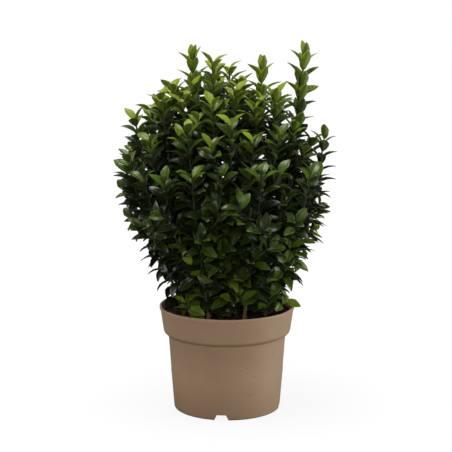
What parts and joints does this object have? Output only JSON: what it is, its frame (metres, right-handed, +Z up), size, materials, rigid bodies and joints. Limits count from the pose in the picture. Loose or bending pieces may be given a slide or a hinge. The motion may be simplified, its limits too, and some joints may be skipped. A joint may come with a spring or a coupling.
{
  "type": "potted columnar euonymus",
  "caption": "Bushy evergreen spindle shrub with upright shoots of crossed leaf pairs, rooted in peat in a round taupe nursery pot that stands on its flat base.",
  "frame": {"origin": "middle of the pot's flat underside", "axes": "+Z up along the pot's axis, -Y towards the front of the picture"},
  "size_m": [0.3186, 0.2697, 0.5192],
  "materials": {
    "pot_plastic": "satin",
    "peat": "matte",
    "bark": "matte",
    "leaf": "satin"
  },
  "bodies": {
    "root": {"pot": "pot_plastic", "soil": "peat", "stem_right_spire": "bark", "foliage_right_spire": "leaf", "stem_centre_spire": "bark", "foliage_centre_spire": "leaf", "stem_front_right": "bark", "foliage_front_right": "leaf", "stem_left_spire": "bark", "foliage_left_spire": "leaf", "stem_centre_left": "bark", "foliage_centre_left": "leaf", "stem_left_shoulder": "bark", "foliage_left_shoulder": "leaf", "stem_left_outer": "bark", "foliage_left_outer": "leaf", "stem_left_low": "bark", "foliage_left_low": "leaf", "stem_front_left": "bark", "foliage_front_left": "leaf", "stem_front": "bark", "foliage_front": "leaf", "stem_front_low_left": "bark", "foliage_front_low_left": "leaf", "stem_front_low_right": "bark", "foliage_front_low_right": "leaf", "stem_right": "bark", "foliage_right": "leaf", "stem_right_low": "bark", "foliage_right_low": "leaf", "stem_back_right": "bark", "foliage_back_right": "leaf", "stem_back": "bark", "foliage_back": "leaf", "stem_back_left": "bark", "foliage_back_left": "leaf", "stem_back_low_right": "bark", "foliage_back_low_right": "leaf", "stem_back_low_left": "bark", "foliage_back_low_left": "leaf", "stem_basal_left": "bark", "foliage_basal_left": "leaf", "stem_basal_right": "bark", "foliage_basal_right": "leaf"}
  },
  "joints": []
}
